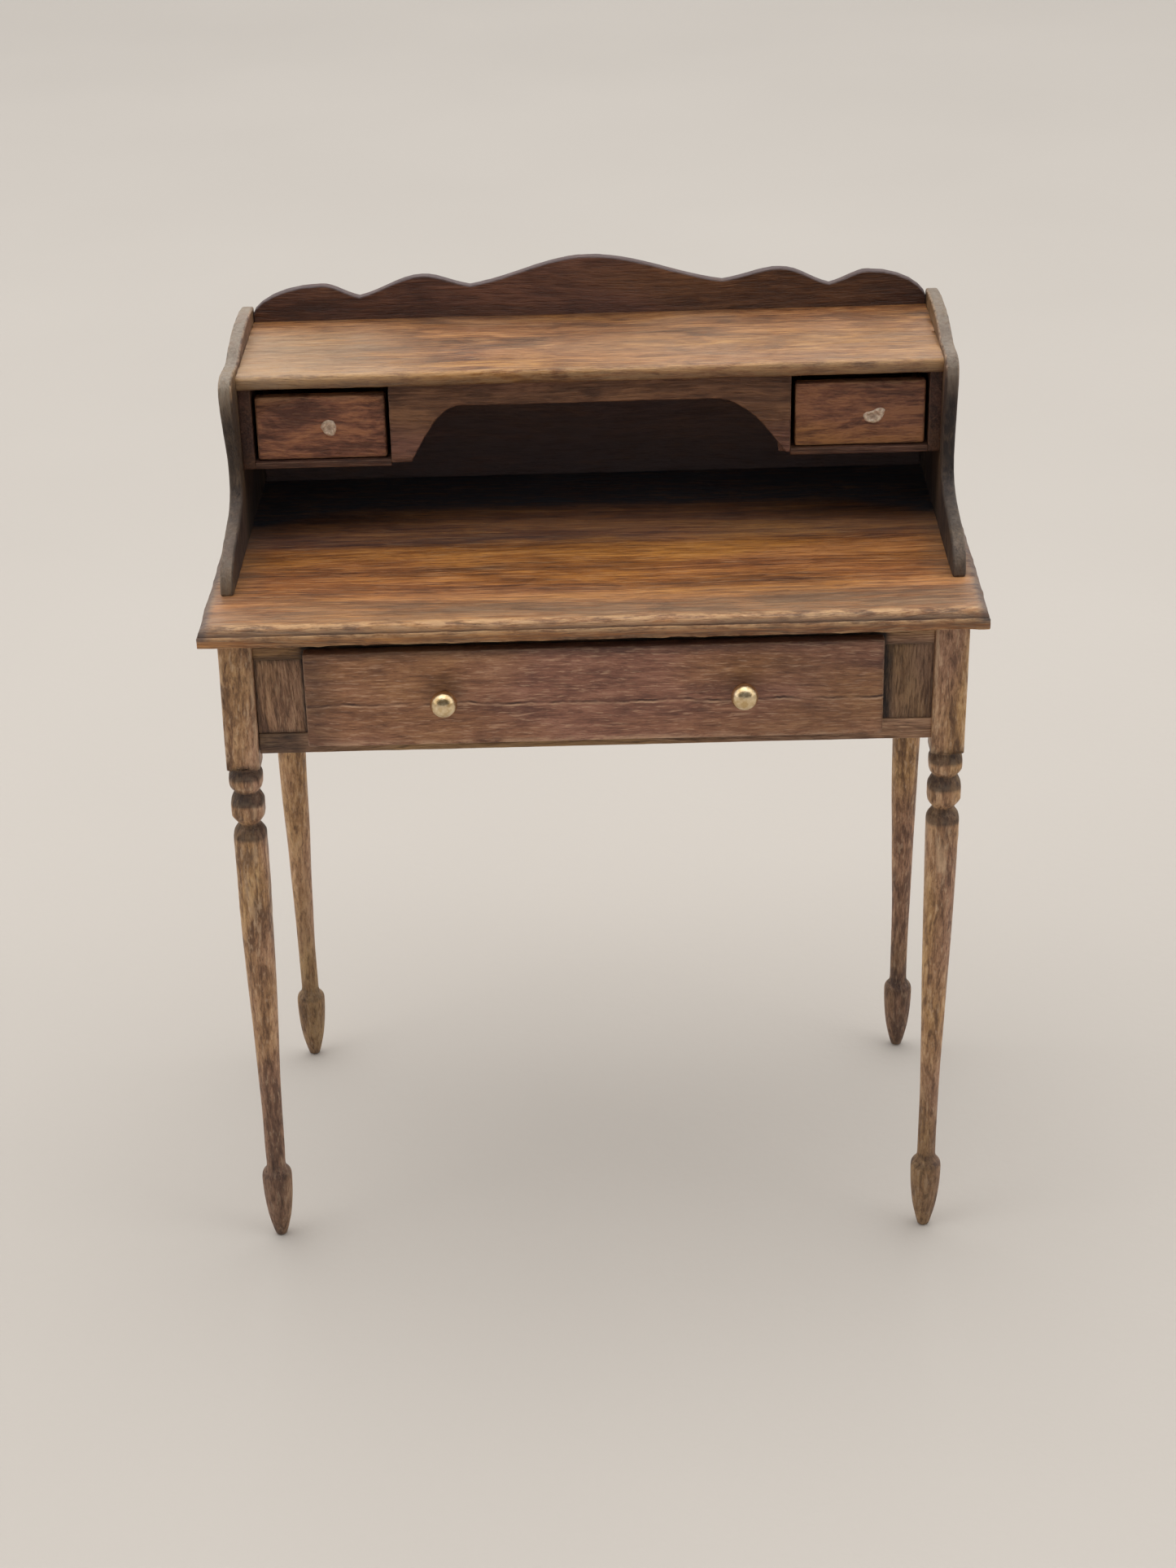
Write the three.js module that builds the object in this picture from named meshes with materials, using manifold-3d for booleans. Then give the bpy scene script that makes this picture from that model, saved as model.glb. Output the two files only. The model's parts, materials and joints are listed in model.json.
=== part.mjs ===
// Dolls' house dressing table, 1:12 scale, in millimetres, +Z up, front facing -Y.
//
// A stained wood table on four turned legs with one wide drawer, and a hutch on top
// with two small drawers under a shelf, a shaped valance between them and a scalloped back.
// Sizes below are measured from the middle of the four legs; the last lines move the whole
// object so that its bounding box is centred on the origin with the feet at z = 0.

import * as THREE from 'three';
import { mergeVertices } from 'three/addons/utils/BufferGeometryUtils.js';
import Module from 'manifold-3d';

const wasm = await Module();
wasm.setup();

// ---- driving dimensions ----------------------------------------------------------------

const UNDERSIDE_Z = 63.5;        // underside of the tabletop
const TOP = { half: 33.8, front: -19.0, rear: 17.5, thick: 1.8 };
const TOP_EDGE = { face: 1.05, quirk: 0.1, run: 0.6 };    // moulded edge of the tabletop
const LEG = { x: 30.9, y: 16.0, square: 3.0, squareEnd: 51.2, segments: 32 };
const APRON_Z = 52.4;            // lower edge of the apron all round
const RAIL = { thick: 1.2, topBottom: 61.4, lowTop: 54.3, setback: 0.5 };
const STILE = { inner: 24.2, thick: 1.05, setback: 0.65 };
const APRON = { thick: 1.2, setback: 0.4 };

const FRONT = { half: 24.95, bottom: 53.65, top: 62.55, thick: 1.3, gap: 0.2 };
const BOX = {
  half: 23.95, bottom: 54.45, top: 61.0, length: 30, wall: 1.2, floor: 0.8, floorRise: 0.25,
};
const KNOB = { x: 12.9, z: 58.3, ballR: 1.18, neck: 0.35, neckR: 0.5, shankR: 0.4, holeR: 0.45 };
const RUNNER = { inner: 22.7, thick: 1.2, guideInner: 24.3, guideThick: 1.3, guideTop: 57.0 };

const HUTCH = { half: 32.5, side: 1.2, rear: 16.5, back: 1.0, rearTop: 82.4 };
const SHELF = { top: 81.2, thick: 1.25, front: -0.2 };
const COMPARTMENT = { front: 0.4, floorTop: 72.95, floor: 0.6, wall: 1.1, divider: 1.0, inner: 16.9 };
// The valance was sawn by hand, so its two shaped ends differ: the flat foot of each end, and
// how far in from the end the arch begins.
const VALANCE = {
  thick: 1.0, archTop: 77.85, footRise: 0.3,
  left: { foot: 1.8, reach: 6.1 }, right: { foot: 0.4, reach: 6.4 },
};
const SMALL = {
  gapInner: 0.4, gapOuter: 0.3, front: 0.8, thick: 1.1, bottom: 73.05, top: 78.95,
  sideTop: 78.0, wall: 0.8, floor: 0.5, floorRise: 0.15, length: 12.1,
};

// Top of the back from left to right as [x, z]: crests, and the dips between them. It was sawn
// by eye, so the crests aren't evenly spaced.
const SCALLOP = [
  [-24.9, 84.5], [-21.3, 83.3], [-15.4, 85.15], [-11.0, 84.1], [0, 86.6],
  [12.4, 83.95], [17.8, 84.95], [22.3, 83.35], [25.9, 84.5],
];
const SCALLOP_END_Z = 81.9;       // where the outer crests run into the end boards

// End board in (y, z), as curves of two control points and an end point: over the top to the
// crown, round the nose, in to the waist, out to the instep and down to the toe.
const SCROLL = [
  [12, 83.1, 7, 82.7, 4.2, 81.85],
  [2.2, 81.2, -2.8, 82.4, -2.8, 79.7],
  [-2.8, 77.8, -0.7, 75.4, -0.7, 72.2],
  [-0.7, 68.2, -7.2, 69.4, -10.2, 67.9],
  [-11.3, 67.3, -11.8, 66.6, -11.8, UNDERSIDE_Z + TOP.thick],
];

// ---- sizes worked out from them --------------------------------------------------------

const topZ = UNDERSIDE_Z + TOP.thick;
const legHalf = LEG.square / 2;
const postFront = -LEG.y - legHalf;
const postRear = LEG.y + legHalf;
const postInner = LEG.x - legHalf;
const postOuter = LEG.x + legHalf;
const railFront = postFront + RAIL.setback;
const railBack = railFront + RAIL.thick;
const drawerBack = railFront - FRONT.gap;               // rear face of the wide drawer front
const drawerFace = drawerBack - FRONT.thick;
const sideInner = HUTCH.half - HUTCH.side;
const backFace = HUTCH.rear - HUTCH.back;
const shelfUnder = SHELF.top - SHELF.thick;
const floorUnder = COMPARTMENT.floorTop - COMPARTMENT.floor;
const dividerFront = COMPARTMENT.front + VALANCE.thick;
const dividerOuter = COMPARTMENT.inner + COMPARTMENT.divider;
const wallInner = sideInner - COMPARTMENT.wall;
const knobFront = drawerFace - KNOB.neck - 2 * KNOB.ballR;

// ---- materials -------------------------------------------------------------------------

const material = (color, roughness, metalness = 0) =>
  new THREE.MeshStandardMaterial({ color, roughness, metalness });

const amberWood = () => material(0x7a5330, 0.5);
const redWood = () => material(0x5e3420, 0.48);
const legWood = () => material(0x6b4a2a, 0.52);
const greyWood = () => material(0x4c3b2d, 0.58);
const innerWood = () => material(0x6a4a30, 0.7);
const brass = () => material(0xc9a255, 0.22, 1.0);

// ---- helpers ---------------------------------------------------------------------------

const table = new THREE.Group();

function add(name, geometry, paint) {
  const mesh = new THREE.Mesh(geometry, paint);
  mesh.name = name;
  table.add(mesh);
}

// Box between two opposite corners.
function box([x0, y0, z0], [x1, y1, z1]) {
  const geometry = new THREE.BoxGeometry(x1 - x0, y1 - y0, z1 - z0);
  return geometry.translate((x0 + x1) / 2, (y0 + y1) / 2, (z0 + z1) / 2);
}

// Outline drawn in (y, z), run along X.
function alongX(shape, x0, x1, curveSegments = 6) {
  const geometry = new THREE.ExtrudeGeometry(shape, {
    depth: x1 - x0, bevelEnabled: false, curveSegments,
  });
  const turn = new THREE.Matrix4().makeBasis(
    new THREE.Vector3(0, 1, 0), new THREE.Vector3(0, 0, 1), new THREE.Vector3(1, 0, 0));
  return geometry.applyMatrix4(turn).translate(x0, 0, 0);
}

// Outline drawn in (x, z), run along Y.
function alongY(shape, y0, y1, curveSegments = 6) {
  const geometry = new THREE.ExtrudeGeometry(shape, {
    depth: y1 - y0, bevelEnabled: false, curveSegments,
  });
  return geometry.rotateX(Math.PI / 2).translate(0, y1, 0);
}

// Turned piece about a vertical axis, from [radius, z] pairs that go upwards.
function turned(profile, segments) {
  const points = profile.map(([r, z]) => new THREE.Vector2(r, z));
  return new THREE.LatheGeometry(points, segments).rotateX(Math.PI / 2);
}

// Closed solid from a geometry, with shared vertices merged and slivers dropped.
function solid(geometry) {
  const bare = new THREE.BufferGeometry();
  bare.setAttribute('position', geometry.getAttribute('position').clone());
  bare.setIndex(geometry.getIndex() ? geometry.getIndex().clone() : null);
  const merged = mergeVertices(bare, 1e-5);
  const index = merged.getIndex().array;
  const faces = [];
  for (let i = 0; i < index.length; i += 3) {
    const [a, b, c] = [index[i], index[i + 1], index[i + 2]];
    if (a !== b && b !== c && c !== a) faces.push(a, b, c);
  }
  return new wasm.Manifold(new wasm.Mesh({
    numProp: 3,
    vertProperties: new Float32Array(merged.getAttribute('position').array),
    triVerts: new Uint32Array(faces),
  }));
}

function geometryOf(manifold) {
  const mesh = manifold.getMesh();
  const geometry = new THREE.BufferGeometry();
  geometry.setAttribute('position', new THREE.BufferAttribute(mesh.vertProperties, 3));
  geometry.setIndex(new THREE.BufferAttribute(mesh.triVerts, 1));
  geometry.computeVertexNormals();
  return geometry;
}

const cut = (body, ...tools) =>
  geometryOf(tools.reduce((left, tool) => left.subtract(solid(tool)), solid(body)));

const common = (a, b) => geometryOf(solid(a).intersect(solid(b)));

// The same solid on the other side of the middle plane.
function mirrored(geometry) {
  return geometryOf(solid(geometry).mirror([1, 0, 0]));
}

const SIDES = [['left', -1], ['right', 1]];

// Adds a left and a right copy of a piece that is drawn on the right.
function addPair(name, geometry, paint) {
  for (const [side, sign] of SIDES) {
    const placed = sign > 0 ? geometryOf(solid(geometry)) : mirrored(geometry);
    add(name.replace('*', side), placed, paint());
  }
}

// ---- tabletop and shelf ----------------------------------------------------------------

// Upper corner of the moulded edge: a square face, a small quirk and a quarter round.
function mouldedCorner(shape, edge, sign) {
  const quirk = edge - sign * TOP_EDGE.quirk;
  const flat = quirk - sign * TOP_EDGE.run;
  const springZ = UNDERSIDE_Z + TOP_EDGE.face;
  if (sign > 0) {
    shape.lineTo(edge, springZ).lineTo(quirk, springZ).quadraticCurveTo(quirk, topZ, flat, topZ);
  } else {
    shape.lineTo(flat, topZ).quadraticCurveTo(quirk, topZ, quirk, springZ).lineTo(edge, springZ);
  }
}

function tabletop() {
  const across = new THREE.Shape().moveTo(-TOP.half, UNDERSIDE_Z).lineTo(TOP.half, UNDERSIDE_Z);
  mouldedCorner(across, TOP.half, 1);
  mouldedCorner(across, -TOP.half, -1);
  const deep = new THREE.Shape().moveTo(TOP.front, UNDERSIDE_Z).lineTo(TOP.rear, UNDERSIDE_Z);
  deep.lineTo(TOP.rear, topZ);
  mouldedCorner(deep, TOP.front, -1);
  const margin = 1;
  return common(
    alongY(across, TOP.front - margin, TOP.rear + margin),
    alongX(deep, -TOP.half - margin, TOP.half + margin));
}

function shelf() {
  const upper = 0.5;
  const lower = 0.3;
  const { top, front } = SHELF;
  const outline = new THREE.Shape().moveTo(backFace, shelfUnder).lineTo(backFace, top);
  outline.lineTo(front + upper, top).quadraticCurveTo(front, top, front, top - upper);
  outline.lineTo(front, shelfUnder + lower);
  outline.quadraticCurveTo(front, shelfUnder, front + lower, shelfUnder);
  return alongX(outline, -sideInner, sideInner);
}

// ---- legs ------------------------------------------------------------------------------

// Turned from square stock: the lathe profile is wider than the stock wherever flats remain.
const LEG_PROFILE = [
  [0, 0], [0.35, 0], [0.6, 0.25], [0.82, 1.1], [1.1, 2.4], [1.33, 4.2], [1.46, 6.0],
  [1.47, 6.7], [1.3, 7.3], [0.96, 7.75], [0.88, 8.2], [0.88, 9.6], [0.9, 14], [0.98, 18],
  [1.14, 24], [1.3, 29], [1.42, 34], [1.54, 39], [1.6, 42.5], [1.63, 43.7], [1.56, 44.2],
  [1.22, 44.75], [0.96, 45.15], [1.5, 45.95], [1.66, 46.2], [1.7, 46.8], [1.66, 47.35],
  [1.2, 48.2], [1.12, 48.4], [1.6, 49.1], [1.69, 49.4], [1.68, 49.95], [1.34, 50.6],
  [1.28, 50.75], [1.42, 50.95], [1.9, LEG.squareEnd], [2.3, LEG.squareEnd + 0.3],
  [2.3, UNDERSIDE_Z + 1], [0, UNDERSIDE_Z + 1],
];

function leg() {
  const stock = box([-legHalf, -legHalf, -1], [legHalf, legHalf, UNDERSIDE_Z]);
  return common(turned(LEG_PROFILE, LEG.segments), stock);
}

function legs() {
  const blank = leg();
  for (const [end, ySign] of [['front', -1], ['rear', 1]]) {
    for (const [side, xSign] of SIDES) {
      const placed = blank.clone().translate(xSign * LEG.x, ySign * LEG.y, 0);
      add(`leg_${end}_${side}`, placed, legWood());
    }
  }
}

// ---- table frame -----------------------------------------------------------------------

function runner() {
  const outline = new THREE.Shape();
  const bottom = RAIL.lowTop - RUNNER.thick;
  const guideOuter = RUNNER.guideInner + RUNNER.guideThick;
  outline.moveTo(RUNNER.inner, bottom).lineTo(postInner, bottom);
  outline.lineTo(postInner, RAIL.lowTop).lineTo(guideOuter, RAIL.lowTop);
  outline.lineTo(guideOuter, RUNNER.guideTop).lineTo(RUNNER.guideInner, RUNNER.guideTop);
  outline.lineTo(RUNNER.guideInner, RAIL.lowTop).lineTo(RUNNER.inner, RAIL.lowTop);
  return alongY(outline, railBack, postRear - APRON.setback - APRON.thick);
}

function tableFrame() {
  const rearFace = postRear - APRON.setback;
  const sideFace = postOuter - APRON.setback;
  const stileFront = postFront + STILE.setback;
  add('tabletop', tabletop(), amberWood());
  legs();
  add('front_top_rail', box(
    [-postInner, railFront, RAIL.topBottom], [postInner, railBack, UNDERSIDE_Z]), legWood());
  add('front_bottom_rail', box(
    [-postInner, railFront, APRON_Z], [postInner, railBack, RAIL.lowTop]), legWood());
  addPair('front_*_stile', box(
    [STILE.inner, stileFront, RAIL.lowTop],
    [postInner, stileFront + STILE.thick, RAIL.topBottom]), legWood);
  addPair('*_side_apron', box(
    [sideFace - APRON.thick, -LEG.y + legHalf, APRON_Z],
    [sideFace, LEG.y - legHalf, UNDERSIDE_Z]), redWood);
  add('rear_apron', box(
    [-postInner, rearFace - APRON.thick, APRON_Z], [postInner, rearFace, UNDERSIDE_Z]), redWood());
  addPair('*_drawer_runner', runner(), innerWood);
}

// ---- wide drawer -----------------------------------------------------------------------

// Knob turned about +Z with its shank reaching down through the drawer front.
function knob() {
  const { ballR, neck, neckR, shankR } = KNOB;
  const centre = neck + ballR;
  const start = Math.asin(neckR / ballR);
  const profile = [[0, -FRONT.thick], [shankR, -FRONT.thick], [shankR, 0], [neckR, 0]];
  const steps = 10;
  for (let i = 0; i < steps; i++) {
    const angle = start + (Math.PI - start) * (i / steps);
    profile.push([ballR * Math.sin(angle), centre - ballR * Math.cos(angle)]);
  }
  profile.push([0, centre + ballR]);
  return geometryOf(solid(turned(profile, 24))).rotateX(Math.PI / 2);
}

function knobHole(x) {
  const hole = new THREE.CylinderGeometry(KNOB.holeR, KNOB.holeR, 3 * FRONT.thick, 20);
  return hole.translate(x, drawerFace, KNOB.z);
}

function wideDrawer() {
  const { half, bottom, top, length, wall, floor, floorRise } = BOX;
  const rear = drawerBack + length;
  const floorBottom = bottom + floorRise;
  add('main_drawer_front', cut(
    box([-FRONT.half, drawerFace, FRONT.bottom], [FRONT.half, drawerBack, FRONT.top]),
    knobHole(-KNOB.x), knobHole(KNOB.x)), redWood());
  addPair('main_drawer_*_side', box(
    [half - wall, drawerBack, bottom], [half, rear, top]), innerWood);
  add('main_drawer_back', box(
    [-half + wall, rear - wall, bottom], [half - wall, rear, top]), innerWood());
  add('main_drawer_bottom', box(
    [-half + wall, drawerBack, floorBottom],
    [half - wall, rear - wall, floorBottom + floor]), innerWood());
  for (const [side, sign] of SIDES) {
    add(`${side}_knob`, knob().translate(sign * KNOB.x, drawerFace, KNOB.z), brass());
  }
}

// ---- hutch -----------------------------------------------------------------------------

// Scrolled end board: a low toe in front, a waist, a nose level with the shelf, a soft top.
function hutchSide() {
  const outline = new THREE.Shape().moveTo(HUTCH.rear, topZ).lineTo(HUTCH.rear, HUTCH.rearTop);
  for (const curve of SCROLL) outline.bezierCurveTo(...curve);
  return alongX(outline, sideInner, HUTCH.half, 9);
}

// Points from a crest to the next dip or back up: level at the crest, nearly so in the dip.
function wave([x0, z0], [x1, z1], steps) {
  const sharp = 0.35;
  const points = [];
  for (let i = 0; i < steps; i++) {
    const t = i / steps;
    const pointed = z0 > z1 ? t ** 2 : 1 - (1 - t) ** 2;
    const round = (1 - Math.cos(Math.PI * t)) / 2;
    const fall = sharp * pointed + (1 - sharp) * round;
    points.push([x0 + (x1 - x0) * t, z0 + (z1 - z0) * fall]);
  }
  return points;
}

// Quarter wave from the end board (sign -1 left, +1 right) up to the outer crest.
function scallopEnd([x, z], sign) {
  const steps = 6;
  const points = [];
  for (let i = 0; i < steps; i++) {
    const t = (i / steps) * Math.PI / 2;
    points.push([x + (sign * sideInner - x) * Math.cos(t),
      SCALLOP_END_Z + (z - SCALLOP_END_Z) * Math.sin(t) ** 1.3]);
  }
  return points;
}

function hutchBack() {
  const outline = new THREE.Shape().moveTo(sideInner, topZ).lineTo(-sideInner, topZ);
  const last = SCALLOP.length - 1;
  const points = scallopEnd(SCALLOP[0], -1);
  for (let k = 0; k < last; k++) {
    const long = SCALLOP[k + 1][0] - SCALLOP[k][0] > 8;
    points.push(...wave(SCALLOP[k], SCALLOP[k + 1], long ? 12 : 7));
  }
  points.push(SCALLOP[last], ...scallopEnd(SCALLOP[last], 1).reverse());
  for (const [x, z] of points) outline.lineTo(x, z);
  return alongY(outline, backFace, HUTCH.rear);
}

// Valance: full height at the ends, a hollow curve up to a straight arch between.
function valance() {
  const end = dividerOuter;
  const footZ = floorUnder + VALANCE.footRise;
  const rise = VALANCE.archTop - footZ;
  const leftFoot = VALANCE.left.foot - end;
  const rightFoot = end - VALANCE.right.foot;
  const leftRun = VALANCE.left.reach - VALANCE.left.foot;
  const rightRun = VALANCE.right.reach - VALANCE.right.foot;
  const nearFoot = { run: 0.28, rise: 0.45 };
  const nearArch = { run: 0.6, rise: 0.95 };
  const outline = new THREE.Shape().moveTo(-end, shelfUnder).lineTo(-end, footZ);
  outline.lineTo(leftFoot, footZ).bezierCurveTo(
    leftFoot + leftRun * nearFoot.run, footZ + rise * nearFoot.rise,
    leftFoot + leftRun * nearArch.run, footZ + rise * nearArch.rise,
    leftFoot + leftRun, VALANCE.archTop);
  outline.lineTo(rightFoot - rightRun, VALANCE.archTop).bezierCurveTo(
    rightFoot - rightRun * nearArch.run, footZ + rise * nearArch.rise,
    rightFoot - rightRun * nearFoot.run, footZ + rise * nearFoot.rise,
    rightFoot, footZ);
  outline.lineTo(end, footZ).lineTo(end, shelfUnder);
  return alongY(outline, COMPARTMENT.front, dividerFront, 8);
}

function hutch() {
  const { front, inner, floorTop } = COMPARTMENT;
  addPair('hutch_*_side', hutchSide(), greyWood);
  add('hutch_back', hutchBack(), redWood());
  add('hutch_shelf', shelf(), amberWood());
  add('hutch_valance', valance(), redWood());
  addPair('*_compartment_divider', box(
    [inner, dividerFront, floorUnder], [dividerOuter, backFace, shelfUnder]), redWood);
  addPair('*_compartment_wall', box(
    [wallInner, front, floorUnder], [sideInner, backFace, shelfUnder]), redWood);
  addPair('*_compartment_floor', box(
    [dividerOuter, front, floorUnder], [wallInner, backFace, floorTop]), redWood);
}

// ---- small drawers ---------------------------------------------------------------------

function smallDrawers() {
  const x0 = dividerOuter + SMALL.gapInner;
  const x1 = wallInner - SMALL.gapOuter;
  const back = SMALL.front + SMALL.thick;
  const rear = back + SMALL.length;
  const { wall, bottom, sideTop, floor, floorRise } = SMALL;
  const floorBottom = bottom + floorRise;
  const name = '*_small_drawer_';
  addPair(`${name}front`, box([x0, SMALL.front, bottom], [x1, back, SMALL.top]), redWood);
  addPair(`${name}inner_side`, box([x0, back, bottom], [x0 + wall, rear, sideTop]), innerWood);
  addPair(`${name}outer_side`, box([x1 - wall, back, bottom], [x1, rear, sideTop]), innerWood);
  addPair(`${name}back`, box(
    [x0 + wall, rear - wall, bottom], [x1 - wall, rear, sideTop]), innerWood);
  addPair(`${name}bottom`, box(
    [x0 + wall, back, floorBottom], [x1 - wall, rear - wall, floorBottom + floor]), innerWood);
}

tableFrame();
wideDrawer();
hutch();
smallDrawers();

// The knobs reach furthest forward and the tabletop furthest back.
table.position.y = -(knobFront + TOP.rear) / 2;
table.name = 'dressing_table';

export default table;
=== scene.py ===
import json
import math
import random

import bmesh
import bpy
from mathutils import Matrix, Vector, noise


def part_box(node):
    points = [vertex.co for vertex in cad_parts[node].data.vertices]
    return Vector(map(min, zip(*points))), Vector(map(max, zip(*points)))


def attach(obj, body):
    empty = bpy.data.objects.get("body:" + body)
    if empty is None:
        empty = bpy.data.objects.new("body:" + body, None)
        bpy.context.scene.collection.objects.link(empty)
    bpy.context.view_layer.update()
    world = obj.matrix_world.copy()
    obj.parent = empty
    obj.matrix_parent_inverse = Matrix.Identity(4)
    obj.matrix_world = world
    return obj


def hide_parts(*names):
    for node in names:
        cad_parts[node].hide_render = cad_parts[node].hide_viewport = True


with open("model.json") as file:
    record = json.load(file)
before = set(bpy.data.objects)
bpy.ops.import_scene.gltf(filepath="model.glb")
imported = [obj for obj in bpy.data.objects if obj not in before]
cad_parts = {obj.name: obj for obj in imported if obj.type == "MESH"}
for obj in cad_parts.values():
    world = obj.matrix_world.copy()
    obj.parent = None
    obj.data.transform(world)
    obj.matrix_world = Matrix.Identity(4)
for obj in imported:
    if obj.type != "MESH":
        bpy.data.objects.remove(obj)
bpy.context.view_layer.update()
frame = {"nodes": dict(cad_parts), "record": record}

MM = 0.001
SIDES = ("left", "right")
SKEW = {"slope": 0.009, "height": 60 * MM}     # rise towards the right end, complete at this height


# ---- mesh helpers

def fade(value, start, end):
    """0 at start, 1 at end, straight in between."""
    return min(1.0, max(0.0, (value - start) / (end - start)))


def hand_made(v):
    """The whole table leans a little: its right end stands slightly higher than its left."""
    return Vector((v.x, v.y, v.z + SKEW["slope"] * v.x * fade(v.z, 0.0, SKEW["height"])))


def wobble(p, frequency, amount, seed):
    """Smooth random shift: frequency per millimetre, amount in millimetres."""
    q = p * (frequency / MM) + Vector((seed * 7.31, seed * 3.17, seed * 5.53))
    return noise.noise_vector(q) * (amount * MM)


def finish_mesh(name, verts, faces, wear_and_highlight, dark, material, body, node=None,
                seed=1.0, rough=0.02, chips=0.03, pale=None):
    """Makes the object, with a little hand-made unevenness and more of it along worn edges."""
    placed = []
    for v, w in zip(verts, wear_and_highlight):
        p = Vector(v)
        p = p + wobble(p, 0.16, rough, seed)
        if w > 0.01:
            p = p + wobble(p, 0.9, chips * min(w, 1.0), seed + 3)
        placed.append(hand_made(p))
    mesh = bpy.data.meshes.new(name)
    mesh.from_pydata([tuple(p) for p in placed], [], faces)
    mesh.validate()
    for key, values in (("wear_and_highlight", wear_and_highlight), ("dark", dark), ("pale", pale or [0.0] * len(verts))):
        attribute = mesh.attributes.new(key, "FLOAT", "POINT")
        attribute.data.foreach_set("value", [float(x) for x in values])
    bm = bmesh.new()
    bm.from_mesh(mesh)
    bmesh.ops.recalc_face_normals(bm, faces=bm.faces)
    bm.to_mesh(mesh)
    bm.free()
    for polygon in mesh.polygons:
        polygon.use_smooth = True
    obj = bpy.data.objects.new(name, mesh)
    bpy.context.scene.collection.objects.link(obj)
    mesh.materials.append(material)
    weighted = obj.modifiers.new("even normals", "WEIGHTED_NORMAL")
    weighted.mode = "FACE_AREA"
    weighted.weight = 60
    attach(obj, body)
    if node:
        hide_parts(node)


def stations(length, radius, step):
    """Places along one side of a rounded board: close together in the rounded ends."""
    ends = [radius * (1 - math.cos(a * math.pi / 8)) for a in range(5)]
    inner = length - 2 * radius
    count = max(1, round(inner / step))
    middle = [radius + inner * i / count for i in range(1, count)]
    return ends + middle + [length - e for e in reversed(ends)]


def rounded_board(lo, hi, radius, step):
    """Vertices, faces, and edge wear and painted highlight, of a box with rounded edges."""
    size = [hi[i] - lo[i] for i in range(3)]
    radius = min(radius, 0.45 * min(size))
    axes = [stations(size[i], radius, step) for i in range(3)]
    index = {}
    verts, wear_and_highlight, faces = [], [], []

    def vertex(ijk):
        if ijk in index:
            return index[ijk]
        p = [axes[a][ijk[a]] for a in range(3)]
        core = [min(max(p[a], radius), size[a] - radius) for a in range(3)]
        d = Vector([p[a] - core[a] for a in range(3)])
        out = Vector(core) + d.normalized() * radius
        flat = max(abs(c) for c in d.normalized())
        index[ijk] = len(verts)
        verts.append(tuple(out + Vector(lo)))
        wear_and_highlight.append(min(1.0, (1 - flat) / 0.25))
        return index[ijk]

    for axis in range(3):
        u, w = (axis + 1) % 3, (axis + 2) % 3
        for end in (0, len(axes[axis]) - 1):
            for i in range(len(axes[u]) - 1):
                for j in range(len(axes[w]) - 1):
                    corners = []
                    for di, dj in ((0, 0), (1, 0), (1, 1), (0, 1)):
                        ijk = [0, 0, 0]
                        ijk[axis], ijk[u], ijk[w] = end, i + di, j + dj
                        corners.append(vertex(tuple(ijk)))
                    faces.append(corners if end else corners[::-1])
    return verts, faces, wear_and_highlight


def outline_of(node, axis):
    """Ordered outline of a CAD node's flat face, as 2D points on the other two axes."""
    bm = bmesh.new()
    bm.from_mesh(frame["nodes"][node].data)
    bmesh.ops.remove_doubles(bm, verts=bm.verts, dist=1e-7)
    edge_value = max(v.co[axis] for v in bm.verts)
    chosen = {f for f in bm.faces if all(abs(v.co[axis] - edge_value) < 1e-6 for v in f.verts)}
    ring = {}
    for edge in bm.edges:
        if sum(f in chosen for f in edge.link_faces) == 1:
            a, b = edge.verts
            ring.setdefault(a, []).append(b)
            ring.setdefault(b, []).append(a)
    start = min(ring, key=lambda v: (v.co.z, v.co.x, v.co.y))
    path, last, here = [start], None, start
    while True:
        onward = [v for v in ring[here] if v is not last]
        last, here = here, onward[0]
        if here is start:
            break
        path.append(here)
    keep = [a for a in range(3) if a != axis]
    points = [Vector((v.co[keep[0]], v.co[keep[1]])) for v in path]
    bm.free()
    area = sum(a.x * b.y - b.x * a.y for a, b in zip(points, points[1:] + points[:1]))
    return points if area > 0 else points[::-1]


def refine(points, step):
    """Divides an outline's long sides, so that none is longer than the step."""
    out = []
    for a, b in zip(points, points[1:] + points[:1]):
        count = max(1, math.ceil((b - a).length / step))
        out += [a.lerp(b, i / count) for i in range(count)]
    return out


def inset(points, distance):
    """Moves a counter-clockwise outline inwards."""
    out = []
    n = len(points)
    for i, p in enumerate(points):
        before = (p - points[i - 1]).normalized()
        after = (points[(i + 1) % n] - p).normalized()
        normals = [Vector((-d.y, d.x)) for d in (before, after)]
        middle = (normals[0] + normals[1]).normalized()
        out.append(p + middle * (distance / max(0.5, middle.dot(normals[0]))))
    return out


def ring_faces(rings, segments):
    """Faces between neighbouring rings of points."""
    faces = []
    for k in range(rings - 1):
        for s in range(segments):
            e = (s + 1) % segments
            faces.append((k * segments + s, k * segments + e, (k + 1) * segments + e, (k + 1) * segments + s))
    return faces


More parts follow.
